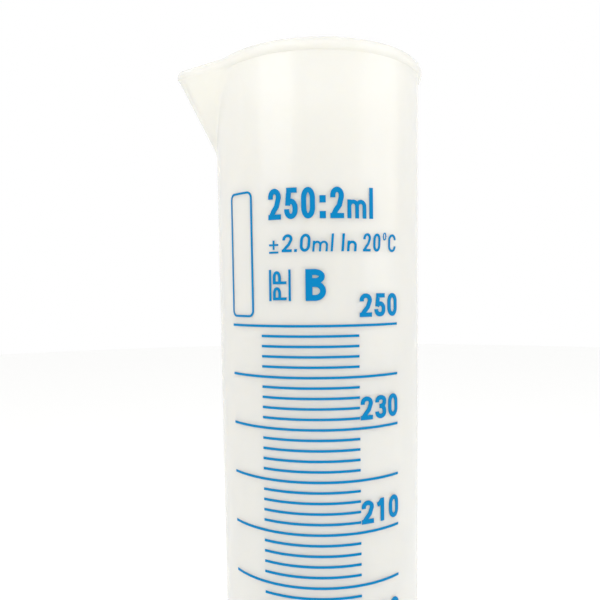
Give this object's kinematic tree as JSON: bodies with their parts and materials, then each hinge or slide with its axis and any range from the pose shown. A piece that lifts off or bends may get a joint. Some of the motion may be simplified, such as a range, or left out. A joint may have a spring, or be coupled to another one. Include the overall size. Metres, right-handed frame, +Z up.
{
  "type": "graduated cylinder",
  "caption": "Tall plastic graduated measuring cylinder with a rounded rim, a pouring spout, a printed scale and a hollow hexagonal foot.",
  "frame": {"origin": "on the tube's axis, at the plane that the foot stands on", "axes": "+Z up the tube to the rim; the pouring spout points along -X; the printed scale faces -Y, 12 degrees towards -X"},
  "size_m": [0.0872, 0.078, 0.3229],
  "materials": {
    "natural_plastic": "natural translucent polypropylene, satin as moulded",
    "blue_ink": "screen-printed blue ink"
  },
  "bodies": {
    "root": {"cylinder_body": "natural_plastic", "ten_ml_lines": "blue_ink", "two_ml_lines": "blue_ink", "scale_numbers": "blue_ink", "capacity_marks": "blue_ink", "grade_marks": "blue_ink", "writing_panel": "blue_ink"}
  },
  "joints": []
}
